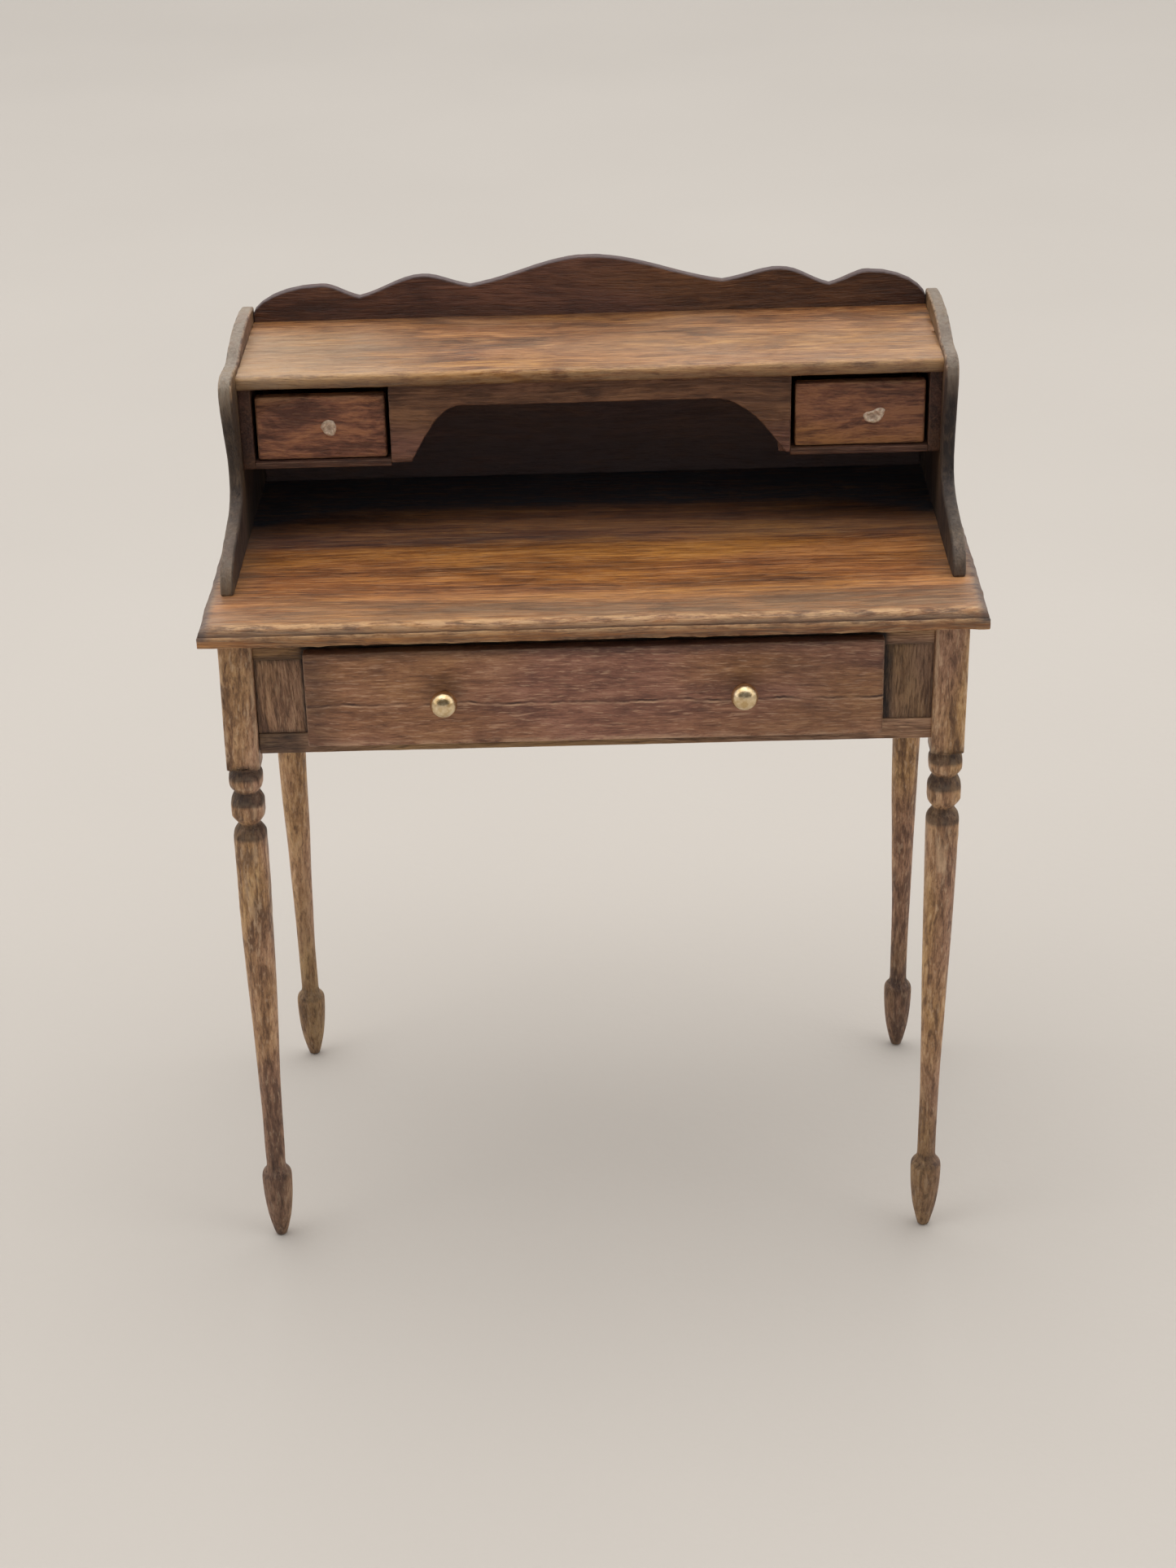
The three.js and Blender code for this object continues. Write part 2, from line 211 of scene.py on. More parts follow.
def prism(outline, axis, a0, a1, radius, step):
    """A board sawn to an outline, with its rims rounded over."""
    keep = [a for a in range(3) if a != axis]
    length = a1 - a0
    turns = [i * math.pi / 6 for i in range(4)]
    rows = [(a0 + radius * (1 - math.cos(t)), radius * (1 - math.sin(t)), math.sin(2 * t)) for t in turns]
    inner = length - 2 * radius
    count = max(1, round(inner / step))
    rows += [(a0 + radius + inner * i / count, 0.0, 0.0) for i in range(1, count)]
    rows += [(a1 - (radius * (1 - math.cos(t))), radius * (1 - math.sin(t)), math.sin(2 * t))
             for t in reversed(turns)]
    verts, wear_and_highlight = [], []
    n = len(outline)
    for depth, cut, worn_and_highlit in rows:
        ring = inset(outline, cut) if cut > 1e-9 else outline
        for p in ring:
            v = [0.0, 0.0, 0.0]
            v[axis], v[keep[0]], v[keep[1]] = depth, p.x, p.y
            verts.append(tuple(v))
            wear_and_highlight.append(worn_and_highlit)
    faces = ring_faces(len(rows), n)
    faces.append(tuple(range(n))[::-1])
    faces.append(tuple((len(rows) - 1) * n + i for i in range(n)))
    return verts, faces, wear_and_highlight


# ---- materials

def srgb(r, g, b):
    """Linear colour from 0 to 255 screen values."""
    def linear(c):
        c /= 255
        return c / 12.92 if c <= 0.04045 else ((c + 0.055) / 1.055) ** 2.4
    return (linear(r), linear(g), linear(b), 1.0)


class Tree:
    """Small helper for building a node tree. Inputs named i0, i1 and i2 go by number."""

    def __init__(self, tree):
        self.tree = tree

    def put(self, socket, value):
        if isinstance(value, bpy.types.NodeSocket):
            self.tree.links.new(value, socket)
        else:
            socket.default_value = value

    def node(self, kind, out=0, options=None, **inputs):
        n = self.tree.nodes.new(kind)
        for key, value in (options or {}).items():
            setattr(n, key, value)
        for key, value in inputs.items():
            name = int(key[1:]) if key[0] == "i" and key[1:].isdigit() else key.replace("_", " ")
            self.put(n.inputs[name], value)
        return n.outputs[out]

    def math(self, operation, a, b=0.0, clamp=False, third=0.0):
        options = {"operation": operation, "use_clamp": clamp}
        return self.node("ShaderNodeMath", options=options, i0=a, i1=b, i2=third)

    def mix(self, factor, a, b, blend="MIX"):
        n = self.tree.nodes.new("ShaderNodeMix")
        n.data_type = "RGBA"
        n.blend_type = blend
        self.put(n.inputs["Factor"], factor)
        self.put(n.inputs[6], a)
        self.put(n.inputs[7], b)
        return n.outputs[2]

    def ramp(self, factor, stops):
        n = self.tree.nodes.new("ShaderNodeValToRGB")
        elements = n.color_ramp.elements
        while len(elements) < len(stops):
            elements.new(0.5)
        for e, (position, value) in zip(elements, stops):
            e.position = position
            e.color = value if isinstance(value, tuple) else (value, value, value, 1.0)
        self.put(n.inputs[0], factor)
        return n.outputs[0]

    def scaled(self, vector, x, y, z):
        return self.node("ShaderNodeVectorMath", options={"operation": "MULTIPLY"}, i0=vector, i1=(x, y, z))

    def noise(self, vector, detail=3.0, roughness=0.55, distortion=0.0, scale=1.0):
        return self.node("ShaderNodeTexNoise", Vector=vector, Scale=scale, Detail=detail,
                         Roughness=roughness, Distortion=distortion)

    def add(self, a, b):
        return self.node("ShaderNodeVectorMath", options={"operation": "ADD"}, i0=a, i1=b)

    def spread(self, value, low, high):
        """Stretches the middle of a noise to the whole of 0 to 1."""
        return self.node("ShaderNodeMapRange", Value=value, From_Min=low, From_Max=high)

    def blend_values(self, weighted):
        total = 0.0
        for value, weight in weighted:
            total = self.math("MULTIPLY_ADD", value, weight, third=total)
        return total

    def attribute(self, name):
        return self.node("ShaderNodeAttribute", out=2, options={"attribute_name": name})

    def swell(self, value, low, high, start, end):
        """A smooth step from one level to another."""
        return self.node("ShaderNodeMapRange", options={"interpolation_type": "SMOOTHSTEP"}, Value=value,
                         From_Min=low, From_Max=high, To_Min=start, To_Max=end)

    def parts(self, vector):
        """The X, Y and Z sockets of a vector."""
        n = self.tree.nodes.new("ShaderNodeSeparateXYZ")
        self.put(n.inputs[0], vector)
        return n.outputs


class Material(Tree):
    """A material with one Principled shader."""

    def __init__(self, name):
        self.material = bpy.data.materials.new(name)
        self.material.use_nodes = True
        super().__init__(self.material.node_tree)
        self.tree.nodes.clear()
        output = self.tree.nodes.new("ShaderNodeOutputMaterial")
        self.shader = self.tree.nodes.new("ShaderNodeBsdfPrincipled")
        self.tree.links.new(self.shader.outputs[0], output.inputs["Surface"])

    def place(self):
        """The object's own coordinates, in metres."""
        return self.node("ShaderNodeTexCoord", out=3)

    def millimetres(self):
        return self.scaled(self.place(), 1 / MM, 1 / MM, 1 / MM)

    def surface(self, colour, rough, bump, distance, height):
        """Colour and roughness as sockets or constants; bump strength and depth in metres."""
        self.put(self.shader.inputs["Base Color"], colour)
        self.put(self.shader.inputs["Roughness"], rough)
        normal = self.node("ShaderNodeBump", Strength=bump, Distance=distance, Height=height)
        self.put(self.shader.inputs["Normal"], normal)

    def constants(self, **values):
        for key, value in values.items():
            self.shader.inputs[key.replace("_", " ")].default_value = value


def stain(*colours):
    """Deep, body, light, fleck and highlight colours."""
    return tuple(srgb(*colour) for colour in colours)


PALETTES = {
    "amber": stain((88, 50, 24), (146, 91, 42), (194, 134, 70), (56, 31, 17), (216, 174, 128)),
    "dusty": stain((88, 53, 27), (138, 89, 45), (180, 130, 76), (60, 36, 19), (216, 174, 122)),
    "red": stain((112, 74, 57), (156, 110, 84), (186, 141, 111), (74, 46, 36), (214, 174, 142)),
    "orange": stain((104, 69, 53), (148, 101, 74), (184, 131, 90), (70, 46, 36), (204, 158, 118)),
    "valance": stain((80, 54, 44), (110, 77, 62), (138, 101, 81), (50, 34, 28), (164, 124, 98)),
    "dark": stain((70, 44, 33), (98, 66, 50), (126, 89, 68), (44, 29, 23), (156, 118, 92)),
    "leg": stain((116, 84, 60), (172, 133, 98), (204, 168, 132), (78, 52, 37), (222, 190, 156)),
    "rail": stain((108, 78, 55), (152, 116, 83), (184, 148, 112), (62, 44, 32), (206, 172, 136)),
    "side": stain((78, 58, 44), (112, 88, 69), (148, 121, 98), (44, 33, 27), (186, 160, 134)),
    "inner": stain((100, 70, 42), (140, 102, 66), (172, 134, 94), (66, 45, 28), (190, 154, 114)),
}
# The colour the dark attribute mixes to: painted shade in recesses and under overhangs, and real stain and
# dirt elsewhere.
SHADE_AND_GRIME = srgb(36, 33, 35)
DUST = srgb(188, 161, 130)
HAZE = srgb(182, 150, 122)
PLANK_SPREAD = 400          # millimetres either way that a board's grain is shifted by its seed
AXIS_ORDER = {"X": "XYZ", "Y": "YXZ", "Z": "ZXY"}


def grain_space(t, grain, seed):
    """Millimetres along, across and through the grain, on a plank picked by the seed."""
    parts = t.parts(t.place())
    order = AXIS_ORDER[grain]
    turned = t.node("ShaderNodeCombineXYZ", X=parts[order[0]], Y=parts[order[1]], Z=parts[order[2]])
    rng = random.Random(seed)
    shift = tuple(rng.uniform(-PLANK_SPREAD, PLANK_SPREAD) for _ in range(3))
    p = t.add(t.scaled(turned, 1 / MM, 1 / MM, 1 / MM), shift)
    # the grain drifts slowly across the board, and ripples a little
    for along, across, reach in ((0.035, 0.12, 2.4), (0.3, 0.5, 0.25)):
        bend = t.node("ShaderNodeTexNoise", out=1, Vector=t.scaled(p, along, across, across),
                      Scale=1.0, Detail=1.0)
        p = t.add(p, t.scaled(t.add(bend, (-0.5, -0.5, -0.5)), 0.0, reach, reach))
    return p


def stretched(t, p, along, across, **shape):
    """Noise drawn out along the grain: frequencies per millimetre."""
    return t.noise(t.scaled(p, along, across, across), **shape)


def flecked(t, p, colour, fleck_colour, shine, flecks, gleams, along, across):
    """Short dark and light dashes, and fine pores. Also returns the dark dashes and the pores."""
    dashes = stretched(t, p, 0.30 * along, 6.0 * across, detail=2.5, roughness=0.6, distortion=0.25)
    dark = t.ramp(dashes, [(0.55, 0.0), (0.66, 1.0)])
    light = t.ramp(dashes, [(0.34, 1.0), (0.44, 0.0)])
    pores = t.ramp(stretched(t, p, 0.9 * along, 13.0, detail=1.5), [(0.58, 0.0), (0.68, 1.0)])
    colour = t.mix(t.math("MULTIPLY", dark, 0.5 * flecks), colour, fleck_colour)
    colour = t.mix(t.math("MULTIPLY", pores, 0.3 * flecks), colour, fleck_colour)
    colour = t.mix(t.math("MULTIPLY", light, gleams * flecks), colour, shine)
    return colour, dark, pores


def weathered_with_painted_light(t, colour, broken, fleck_colour, shine, rubbing, grime):
    """Edges rubbed light in some places, partly wear and partly a painted highlight, and bruised dark in
    others; then painted shade in recesses and under overhangs, with some real stain and dirt, from the dark
    attribute.
    """
    edge = t.attribute("wear_and_highlight")
    # light along the arrises: partly wear, partly a painted highlight
    rubbed_and_highlit = t.math("MULTIPLY", edge, t.ramp(broken, [(0.44, 0.0), (0.56, 1.0)]), clamp=True)
    bruised = t.math("MULTIPLY", edge, t.ramp(broken, [(0.34, 1.0), (0.45, 0.0)]), clamp=True)
    colour = t.mix(t.math("MULTIPLY", rubbed_and_highlit, rubbing), colour, shine)
    colour = t.mix(t.math("MULTIPLY", bruised, 0.6), colour, fleck_colour)
    # the dark attribute: painted shade in recesses and under overhangs, with real stain and dirt in places
    shade_and_dirt = t.math("MULTIPLY", t.attribute("dark"), t.ramp(broken, [(0.32, 0.65), (0.55, 1.0)]), clamp=True)
    return t.mix(t.math("MULTIPLY", shade_and_dirt, 0.95), colour, grime), shade_and_dirt


def wood(name, palette, grain, seed, contrast=1.0, flecks=1.0, fleck_length=1.0, fleck_width=1.0,
         banding=0.32, haze=0.0, gloss=0.45, grime=SHADE_AND_GRIME, dust=DUST, rubbing=0.6, gleams=0.4, crack=None):
    """Stained and waxed wood. The grain runs along one axis."""
    t = Material(name)
    deep, body, light, fleck_colour, shine = PALETTES[palette]
    p = grain_space(t, grain, seed)
    along, across = 1.0 / fleck_length, 1.0 / fleck_width

    bands = t.spread(stretched(t, p, 0.018, 0.26, detail=2.5), 0.36, 0.64)
    streaks = t.spread(stretched(t, p, 0.10 * along, 2.8, detail=4, roughness=0.68), 0.36, 0.64)
    mottle = t.spread(stretched(t, p, 0.16, 0.5, detail=5, roughness=0.62, distortion=0.8), 0.34, 0.66)
    fine = t.spread(stretched(t, p, 0.35 * along, 7.0, detail=3, roughness=0.7), 0.34, 0.66)
    tone = t.blend_values(((bands, banding), (streaks, 0.28), (mottle, 0.54 - banding), (fine, 0.18)))
    reach = 0.24 / contrast
    colour = t.ramp(tone, [(max(0.0, 0.5 - reach), deep), (0.5, body), (min(1.0, 0.5 + reach), light)])

    # reddish and golden passages
    warmth = t.ramp(stretched(t, p, 0.04, 0.13, detail=2),
                    [(0.42, (0.97, 0.91, 1.02, 1.0)), (0.58, (1.06, 1.03, 0.82, 1.0))])
    colour = t.mix(1.0, colour, warmth, "MULTIPLY")
    colour, dashes, pores = flecked(t, p, colour, fleck_colour, shine, flecks, gleams, along, across)
    if haze:
        dusty = t.ramp(stretched(t, p, 0.06, 0.13, detail=5, roughness=0.65), [(0.42, 0.0), (0.64, 1.0)])
        colour = t.mix(t.math("MULTIPLY", dusty, haze), colour, HAZE)

    # a thin dry film over the wax
    film = t.ramp(stretched(t, p, 0.2, 2.2, detail=5, roughness=0.65), [(0.35, 0.45), (0.62, 1.0)])
    colour = t.mix(t.math("MULTIPLY", film, t.attribute("pale"), clamp=True), colour, dust)
    if crack:
        colour = hairline(t, colour, crack, fleck_colour, shine)

    broken = stretched(t, p, 0.4, 1.5, detail=5, roughness=0.7)
    colour, shade_and_dirt = weathered_with_painted_light(t, colour, broken, fleck_colour, shine, rubbing, grime)
    rough = t.blend_values(((streaks, 0.10), (mottle, 0.14), (dashes, 0.14), (shade_and_dirt, 0.3)))
    height = t.blend_values(((streaks, 0.5), (fine, 0.5), (dashes, -0.6), (pores, -0.6), (mottle, 0.8),
                             (broken, 0.8)))
    t.surface(colour, t.math("ADD", rough, gloss - 0.12, clamp=True), 0.7, 0.08 * MM, height)
    t.constants(Coat_Weight=0.08, Coat_Roughness=0.35, Specular_IOR_Level=0.4)
    return t.material


def hairline(t, colour, height, deep, pale):
    """A fine crack along the grain at one height: a dark line with a pale lip under it."""
    parts = t.parts(t.millimetres())
    run = t.node("ShaderNodeCombineXYZ", X=parts["X"])
    wander = t.math("MULTIPLY", t.noise(run, detail=4, scale=0.22), 1.1)
    gap = t.math("SUBTRACT", parts["Z"], t.math("ADD", wander, height - 0.55))
    strength = t.ramp(t.noise(run, detail=2, scale=0.35), [(0.4, 0.1), (0.6, 1.0)])
    above = t.ramp(t.math("ABSOLUTE", t.math("SUBTRACT", gap, 0.08)), [(0.05, 1.0), (0.14, 0.0)])
    below = t.ramp(t.math("ABSOLUTE", t.math("ADD", gap, 0.12)), [(0.04, 1.0), (0.13, 0.0)])
    colour = t.mix(t.math("MULTIPLY", above, strength), colour, deep)
    return t.mix(t.math("MULTIPLY", t.math("MULTIPLY", below, strength), 0.8), colour, pale)


def brass(name):
    """Old brass: uneven tarnish, faint turning marks, and dirt round the neck."""
    t = Material(name)
    p = t.millimetres()
    tarnish = t.noise(t.scaled(p, 1.1, 1.1, 1.1), detail=4, roughness=0.6)
    turning = t.noise(t.scaled(p, 2.5, 26.0, 2.5), detail=3, roughness=0.6)
    colour = t.ramp(tarnish, [(0.38, srgb(196, 168, 122)), (0.62, srgb(240, 220, 184))])
    colour = t.mix(t.math("MULTIPLY", t.attribute("dark"), 0.8), colour, srgb(84, 62, 30))
    rough = t.math("ADD", t.math("MULTIPLY", tarnish, 0.25), 0.08)
    height = t.blend_values(((turning, 0.5), (tarnish, 1.0)))
    t.surface(colour, rough, 0.5, 0.04 * MM, height)
    t.constants(Metallic=1.0)
    return t.material


def glue(name):
    """Dried glue: pale, lumpy and slightly translucent."""
    t = Material(name)
    lumps = t.noise(t.scaled(t.millimetres(), 3.5, 3.5, 3.5), detail=4, roughness=0.65)
    colour = t.ramp(lumps, [(0.35, srgb(172, 142, 118)), (0.62, srgb(232, 214, 194))])
    colour = t.mix(t.math("MULTIPLY", t.attribute("dark"), 0.75), colour, srgb(112, 84, 66))
    rough = t.math("ADD", t.math("MULTIPLY", lumps, 0.3), 0.2)
    t.surface(colour, rough, 0.5, 0.08 * MM, lumps)
    t.constants(Subsurface_Weight=0.15, Subsurface_Scale=0.5 * MM)
    return t.material


def paper(name):
    """Plain pale paper, with a painted pool of light: a little dimmer away from the table."""
    t = Material(name)
    p = t.place()
    tone = t.noise(t.scaled(p, 9.0, 9.0, 9.0), detail=3, roughness=0.5)
    colour = t.ramp(tone, [(0.3, srgb(187, 183, 178)), (0.7, srgb(191, 187, 182))])
    distance = t.node("ShaderNodeVectorMath", out=1, options={"operation": "LENGTH"}, i0=p)
    shade = t.node("ShaderNodeMapRange", Value=distance, From_Min=0.15, From_Max=0.6, To_Min=1.0, To_Max=0.83)
    tint = t.node("ShaderNodeCombineXYZ", X=shade, Y=shade, Z=shade)
    fibres = t.noise(t.scaled(p, 900.0, 900.0, 900.0), detail=3, roughness=0.6)
    t.surface(t.mix(1.0, colour, tint, "MULTIPLY"), 0.9, 0.15, 0.2 * MM, fibres)
    return t.material


# ---- plain boards

def body_of(node):
    """The body a CAD node belongs to."""
    for body, nodes in frame["record"]["behaviour"]["bodies"].items():
        if node in nodes:
            return body
    raise KeyError(node)


def board(node, palette, grain, seed, radius=0.1, step=1.6, dark=None, worn_and_highlit=None, **look):
    """A square-cut board in place of a CAD node. Radius and step are in millimetres."""
    lo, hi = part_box(node)
    verts, faces, wear_and_highlight = rounded_board(lo, hi, radius * MM, step * MM)
    shade = [dark(Vector(v), Vector(lo), Vector(hi)) for v in verts] if dark else [0.0] * len(verts)
    if worn_and_highlit:
        wear_and_highlight = [max(w, worn_and_highlit(Vector(v), Vector(lo), Vector(hi))) for v, w in zip(verts, wear_and_highlight)]
    stained = wood(f"{node}_wood", palette, grain, seed, **look)
    finish_mesh(f"{node}_board", verts, faces, wear_and_highlight, shade, stained, body_of(node), node,
                seed=seed)


def edge_shadow(width, axes, strength=0.8):
    """Darkening towards the edges of a board on the given axes, where it meets its neighbours."""
    def shade(v, lo, hi):
        near = min(min(v[a] - lo[a], hi[a] - v[a]) for a in axes)
        return strength * max(0.0, 1 - near / (width * MM))
    return shade


# The frame beside the wide drawer: width and blur of the painted shadow line in millimetres, and the stiles'
# stain.
RAIL_LINE = 0.3
STILE_LINE = {"left": 0.25, "right": 0.75}
LINE_BLUR = 0.25
STILE_STAIN = {"left": 0.0, "right": 0.4}
# The lower rail: half the length of the painted shade along its upper edge, and where its bare right end
# begins.
RAIL_OPENING = 24.3 * MM
RAIL_BARE_END = 24.0 * MM


def beside_drawer(gap, edges):
    """The painted shadow line around the wide drawer's front, on the frame behind it, and the board's own
    edges.
    """
    lo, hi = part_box("main_drawer_front")
    middle, half = (lo[0] + hi[0]) / 2, (hi[0] - lo[0]) / 2

    def shade(v, low, high):
        outside = abs(v.x - middle) - half
        line = 1 - fade(outside, gap * MM, (gap + LINE_BLUR) * MM)
        return max(line, edges(v, low, high))
    return shade


def tinted(edges, floor):
    """At least a little stain everywhere."""
    return lambda v, lo, hi: max(floor, edges(v, lo, hi))


def rail_ends(v, lo, hi):
    """The lower rail is dark at its left end, and has painted shade along its top under the drawer front."""
    end = 0.75 * (1 - fade(v.x, lo.x + 3.2 * MM, lo.x + 5.2 * MM))
    top = 0.8 * fade(v.z, hi.z - 0.75 * MM, hi.z - 0.55 * MM) if abs(v.x) < RAIL_OPENING else 0.0
    return max(end, top, 0.3 if v.x < RAIL_BARE_END else 0.0)


def front_frame():
    """Two rails and two short upright stiles round the wide drawer."""
    board("front_top_rail", "rail", "X", 11, step=0.35,
          dark=beside_drawer(RAIL_LINE, edge_shadow(0.4, (2,))))
    board("front_bottom_rail", "rail", "X", 12, step=0.35, dark=rail_ends)
    for i, side in enumerate(SIDES):
        edges = tinted(edge_shadow(0.5, (0, 2), 0.7), STILE_STAIN[side])
        board(f"front_{side}_stile", "rail", "Z", 13 + i, step=0.3, contrast=1.2, fleck_length=0.5,
              dark=beside_drawer(STILE_LINE[side], edges))


def small_drawer(i, side):
    """A small drawer: its front rubbed pale along the top, partly wear and partly a painted highlight, and a
    plain box behind.
    """
    board(f"{side}_small_drawer_front", "orange", "X", 30 + i, radius=0.22, step=0.4, contrast=1.3,
          flecks=0.35, fleck_length=0.4, banding=0.0, dark=tinted(edge_shadow(0.3, (0,), 0.4), 0.22 * i),
          worn_and_highlit=lambda v, lo, hi: 0.9 * (1 - fade(hi.z - v.z, 0.15 * MM, 0.35 * MM)))
    board(f"{side}_small_drawer_inner_side", "inner", "Y", 32 + i)
    board(f"{side}_small_drawer_outer_side", "inner", "Y", 34 + i)
    board(f"{side}_small_drawer_back", "inner", "X", 36 + i)
    board(f"{side}_small_drawer_bottom", "inner", "X", 38 + i)


KNOB_BOXES = [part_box(f"{side}_knob") for side in SIDES]
# Painted shadow round each knob: its lift above the knob's middle, its spread and its strength.
KNOB_SHADOW = {"lift": 0.2 * MM, "spread": 1.9, "strength": 0.4}     # spread in knob radii
CRACK_HEIGHT = 57.4             # millimetres above the floor


def knob_shadow(v):
    """Painted shadow round each knob, a little above its middle."""
    ring = 0.0
    for lo, hi in KNOB_BOXES:
        radius = (hi[0] - lo[0]) / 2
        across = v.x - (lo[0] + hi[0]) / 2
        up = v.z - (lo[2] + hi[2]) / 2 - KNOB_SHADOW["lift"]
        ring = max(ring, 1 - fade(math.hypot(across, up), radius, KNOB_SHADOW["spread"] * radius))
    return KNOB_SHADOW["strength"] * ring


def drawer_shade_and_stain(v, lo, hi):
    """Painted shade under the overhanging top and a painted shadow round the knobs; also darker at both ends
    and towards the right.
    """
    top = 0.55 * (1 - fade(hi.z - v.z, 0.2 * MM, 0.9 * MM))
    left = 0.5 * (1 - fade(v.x - lo.x, 1.0 * MM, 3.4 * MM))
    right = 0.5 * (1 - fade(hi.x - v.x, 0.1 * MM, 0.5 * MM))
    return max(top, left, right, knob_shadow(v), 0.22 * fade(v.x, 8 * MM, 18 * MM))


def wide_drawer():
    """The wide drawer between its sides. The front is rubbed light along the bottom, partly wear and partly a
    painted highlight, and cracked.
    """
    board("main_drawer_back", "inner", "X", 22, haze=0.2)
    board("main_drawer_bottom", "inner", "X", 23, haze=0.2)
    board("main_drawer_front", "red", "X", 7, radius=0.2, step=0.4, contrast=0.75, flecks=0.55,
          fleck_length=0.45, fleck_width=0.8, banding=0.2, gleams=0.9, crack=CRACK_HEIGHT, dark=drawer_shade_and_stain,
          worn_and_highlit=lambda v, lo, hi: 1.0 - fade(v.z - lo.z, 0.2 * MM, 0.5 * MM))


def plain_boards():
    """Everything cut square: the frame, the aprons, the drawers and the small compartments."""
    front_frame()
    for i, side in enumerate(SIDES):
        board(f"{side}_side_apron", "dusty", "Y", 15 + i, step=1.0, contrast=0.9,
              dark=edge_shadow(0.5, (1, 2), 0.5))
        board(f"main_drawer_{side}_side", "inner", "Y", 20 + i, haze=0.2)
        board(f"{side}_compartment_divider", "valance", "Y", 24 + i, dark=edge_shadow(0.4, (0,), 0.3))
        # painted shade: the compartment walls and floors are darkened evenly, deep under the shelf
        board(f"{side}_compartment_wall", "dark", "Y", 26 + i, step=0.5, dark=lambda v, lo, hi: 0.45)
        board(f"{side}_compartment_floor", "dark", "X", 28 + i, dark=lambda v, lo, hi: 0.25)
        small_drawer(i, side)
    board("rear_apron", "dusty", "X", 17, step=1.0, contrast=0.9, dark=edge_shadow(0.5, (0, 2), 0.5))
    wide_drawer()


# ---- shaped boards

def shaped(node, axis, palette, grain, seed, radius=0.12, outline_step=0.45, warp=None, step=0.6,
           dark=None, worn_and_highlit=None, pale=None, rim=0.0, **look):
    """A board sawn to its CAD node's own outline. Radius and steps are in millimetres."""
    lo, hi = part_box(node)
    points = refine(outline_of(node, axis), outline_step * MM)
    if warp:
        points = [warp(p) for p in points]
    verts, faces, wear_and_highlight = prism(points, axis, lo[axis], hi[axis], radius * MM, step * MM)
    if worn_and_highlit:
        wear_and_highlight = [max(w, worn_and_highlit(Vector(v))) for v, w in zip(verts, wear_and_highlight)]
    shade = [dark(Vector(v)) for v in verts] if dark else [0.0] * len(verts)
    if rim:
        inside = (lo[axis] + 0.01 * MM, hi[axis] - 0.01 * MM)
        shade = [max(d, rim) if inside[0] < v[axis] < inside[1] else d for v, d in zip(verts, shade)]
    film = [pale(Vector(v)) for v in verts] if pale else None
    stained = wood(f"{node}_wood", palette, grain, seed, **look)
    finish_mesh(f"{node}_board", verts, faces, wear_and_highlight, shade, stained, body_of(node), node,
                seed=seed, rough=0.03, chips=0.06, pale=film)


# The end boards' forward bulge was sawn by hand: its height, its depth, and how far each side's
# stands forward and up from the drawn place, in millimetres.
NOSE = {"z": 79.7 * MM, "reach": 4 * MM, "left": (-0.5, 0.8), "right": (0.9, 0.4)}


def nose_shift(side):
    """Moves the forward bulge of an end board."""
    amount, height = NOSE[side]

    def warp(p):
        forward = 1 - fade(p.x, 0.0, NOSE["reach"])
        level = math.exp(-((p.y - NOSE["z"]) / (4.0 * MM)) ** 2)
        lift = math.exp(-((p.y - NOSE["z"]) / (3.0 * MM)) ** 2)
        return Vector((p.x + amount * MM * level * forward, p.y + height * MM * lift * forward))
    return warp


# Painted shade and a grey film on the sawn edges of the end boards, at the crown, the waist and the foot.
EDGE_SHADE = {"left": (0.1, 0.9, 0.5), "right": (0.3, 1.0, 0.7)}
EDGE_FILM = {"left": (0.9, 0.3, 0.6), "right": (0.8, 0.2, 0.5)}
# Heights between which the waist gives way to the crown, and to the foot.
CROWN = (77.5 * MM, 80.5 * MM)
FOOT = (70.5 * MM, 68 * MM)
SIDE_DUST = srgb(158, 146, 131)


def along_edge(z, levels):
    """Blends three levels along an end board's edge: crown, waist and foot."""
    crown, waist, foot = levels
    return waist + (crown - waist) * fade(z, *CROWN) + (foot - waist) * fade(z, *FOOT)


def end_board_faces(side):
    """Which part of an end board a point is on: its inner face, its outer face or its edge."""
    lo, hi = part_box(f"hutch_{side}_side")
    inner, outer = (hi[0], lo[0]) if side == "left" else (lo[0], hi[0])

    def part(v):
        if abs(v.x - inner) <= 0.15 * MM:
            return "inner"
        return "outer" if abs(v.x - outer) <= 0.01 * MM else "edge"
    return part


def end_board_shade_and_stain(side):
    """Painted shade on the inner face below the shelf, faintly stained outside, and painted shade along the
    sawn edge, deepest at the waist under the forward bulge.
    """
    part = end_board_faces(side)
    shelf_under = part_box("hutch_shelf")[0][2]

    def shade(v):
        if part(v) == "inner":
            return 0.9 * (1 - fade(v.z, shelf_under, shelf_under + 0.5 * MM))
        return along_edge(v.z, EDGE_SHADE[side]) if part(v) == "edge" else 0.12
    return shade


def end_board_film(side):
    """A grey film on the sawn edge only."""
    part = end_board_faces(side)
    return lambda v: along_edge(v.z, EDGE_FILM[side]) if part(v) == "edge" else 0.0


def end_boards():
    """The two scrolled end boards."""
    for i, side in enumerate(SIDES):
        shaped(f"hutch_{side}_side", 0, "side", "Z", 41 + i, radius=0.22, outline_step=0.3, step=0.3,
               warp=nose_shift(side), dark=end_board_shade_and_stain(side), pale=end_board_film(side),
               dust=SIDE_DUST, contrast=0.9, flecks=0.6, fleck_length=0.7)


